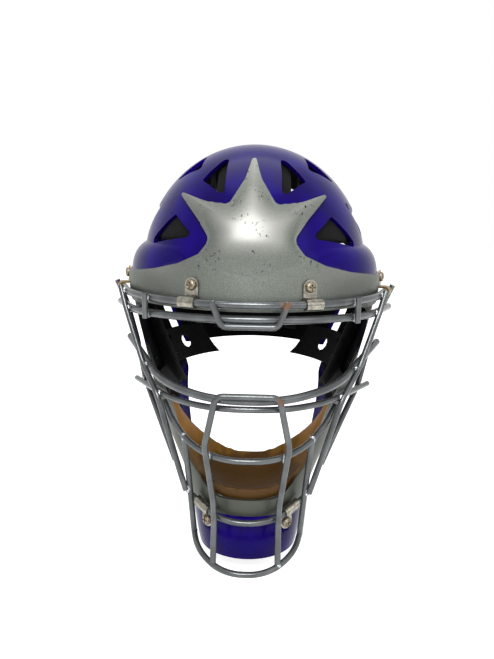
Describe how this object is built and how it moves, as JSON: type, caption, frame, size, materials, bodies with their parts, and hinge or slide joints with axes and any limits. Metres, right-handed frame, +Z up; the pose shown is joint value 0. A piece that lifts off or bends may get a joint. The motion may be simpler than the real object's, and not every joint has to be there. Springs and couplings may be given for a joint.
{
  "type": "baseball catcher helmet",
  "caption": "Hockey-style baseball catcher helmet: violet shell with a raised silver star, welded steel face cage, black pads, tan chin cup and sliding back plate.",
  "frame": {"origin": "centre of the wearer's head at eye height, in the middle plane", "axes": "+Z up towards the crown, the face and its cage look along -Y, +X is to the right in the picture"},
  "size_m": [0.2642, 0.2738, 0.3465],
  "materials": {
    "shell": "violet-blue moulded shell with silver paint on the star, brow band and rim",
    "cage_paint": "satin silver-grey",
    "zinc": "zinc plated",
    "screw_steel": "passivated, slightly rusted",
    "foam": "black laminated foam",
    "leather": "tan",
    "elastic": "woven elastic"
  },
  "bodies": {
    "helmet": {"shell_front": "shell", "brow_rod": "cage_paint", "sight_rod": "cage_paint", "eye_rod": "cage_paint", "under_eye_rod": "cage_paint", "mouth_rod": "cage_paint", "hoop_rod": "cage_paint", "chin_rod": "cage_paint", "nose_rod": "cage_paint", "visor_rod": "cage_paint", "link_left": "cage_paint", "link_right": "cage_paint", "front_strut_left": "cage_paint", "front_strut_right": "cage_paint", "rear_strut_left": "cage_paint", "rear_strut_right": "cage_paint", "chin_strut_left": "cage_paint", "chin_strut_right": "cage_paint", "brow_clip_left": "zinc", "brow_clip_right": "zinc", "temple_clip_left": "zinc", "temple_clip_right": "zinc", "chin_clip_left": "zinc", "chin_clip_right": "zinc", "brow_screws": "screw_steel", "temple_screws": "screw_steel", "chin_screws": "screw_steel", "brow_nuts": "zinc", "temple_nuts": "zinc", "chin_nuts": "zinc", "brow_pad": "foam", "side_pad_left": "foam", "side_pad_right": "foam", "crown_pad": "foam", "top_pad_left": "foam", "top_pad_right": "foam", "jaw_pad_left": "foam", "jaw_pad_right": "foam", "chin_cup": "leather", "low_strap_left": "elastic", "low_strap_right": "elastic", "high_strap_left": "elastic", "high_strap_right": "elastic", "strap_studs": "zinc"},
    "back": {"back_plate": "shell", "back_pad": "foam"}
  },
  "joints": [
    {"name": "back_plate_slide", "type": "slide", "parent": "helmet", "child": "back", "axis": [0, 1, 0], "range_m": [0, 0.02], "stiffness_N_per_m": 300}
  ]
}
